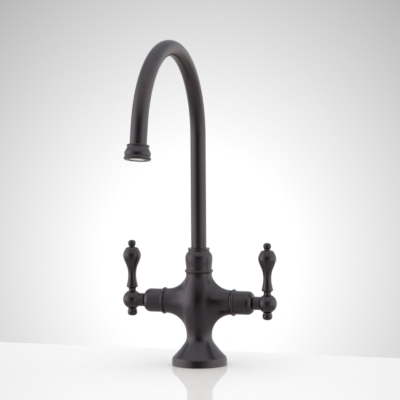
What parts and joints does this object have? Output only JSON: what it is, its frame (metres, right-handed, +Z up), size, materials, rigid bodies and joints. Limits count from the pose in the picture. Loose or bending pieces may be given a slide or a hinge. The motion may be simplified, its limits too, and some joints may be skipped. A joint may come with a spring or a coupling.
{
  "type": "two handle kitchen faucet",
  "caption": "Deck-mounted two-handle kitchen faucet with a turned cross-shaped body, lever handles on ball hubs and a swivelling gooseneck spout.",
  "frame": {"origin": "centre of the foot's underside, on the body's vertical axis", "axes": "+Z up; the spout reaches forward to -Y; the lever handles stand to -X (left) and +X (right)"},
  "size_m": [0.2038, 0.2782, 0.411],
  "materials": {
    "dark_metal": "satin, very dark bronze-black coating on brass",
    "black_rubber": "matte",
    "brass": "machined",
    "white_nylon": "moulded",
    "ceramic": "lapped",
    "steel": "plain"
  },
  "bodies": {
    "base": {"body_casting": "dark_metal", "base_gasket": "black_rubber", "inlet_block": "brass", "collar_gasket": "black_rubber", "spout_collar": "dark_metal", "thrust_washer": "white_nylon", "swivel_bush": "white_nylon", "left_bonnet_gasket": "black_rubber", "left_bonnet": "dark_metal", "left_cartridge_body": "brass", "left_seat_seal": "black_rubber", "left_fixed_disc": "ceramic", "right_bonnet_gasket": "black_rubber", "right_bonnet": "dark_metal", "right_cartridge_body": "brass", "right_seat_seal": "black_rubber", "right_fixed_disc": "ceramic"},
    "spout": {"spout_tube": "dark_metal", "spout_ferrule": "brass", "ferrule_orings": "black_rubber", "aerator_housing": "dark_metal", "aerator_washer": "black_rubber", "aerator_insert": "dark_metal", "aerator_screen": "white_nylon"},
    "left_handle": {"left_handle_hub": "dark_metal", "left_lever": "dark_metal", "left_finial": "dark_metal", "left_cartridge_stem": "brass", "left_moving_disc": "ceramic", "left_stem_oring": "black_rubber", "left_stem_clip": "steel", "left_set_screw": "steel"},
    "right_handle": {"right_handle_hub": "dark_metal", "right_lever": "dark_metal", "right_finial": "dark_metal", "right_cartridge_stem": "brass", "right_moving_disc": "ceramic", "right_stem_oring": "black_rubber", "right_stem_clip": "steel", "right_set_screw": "steel"}
  },
  "joints": [
    {"name": "spout_swivel", "type": "hinge", "parent": "base", "child": "spout", "pos_m": [0, 0, 0.2], "axis": [0, 0, 1], "continuous": true},
    {"name": "left_lever_turn", "type": "hinge", "parent": "base", "child": "left_handle", "pos_m": [-0.0899, 0, 0.0806], "axis": [1, 0, 0], "range_deg": [0, 90]},
    {"name": "right_lever_turn", "type": "hinge", "parent": "base", "child": "right_handle", "pos_m": [0.0899, 0, 0.0806], "axis": [1, 0, 0], "range_deg": [0, 90]}
  ]
}
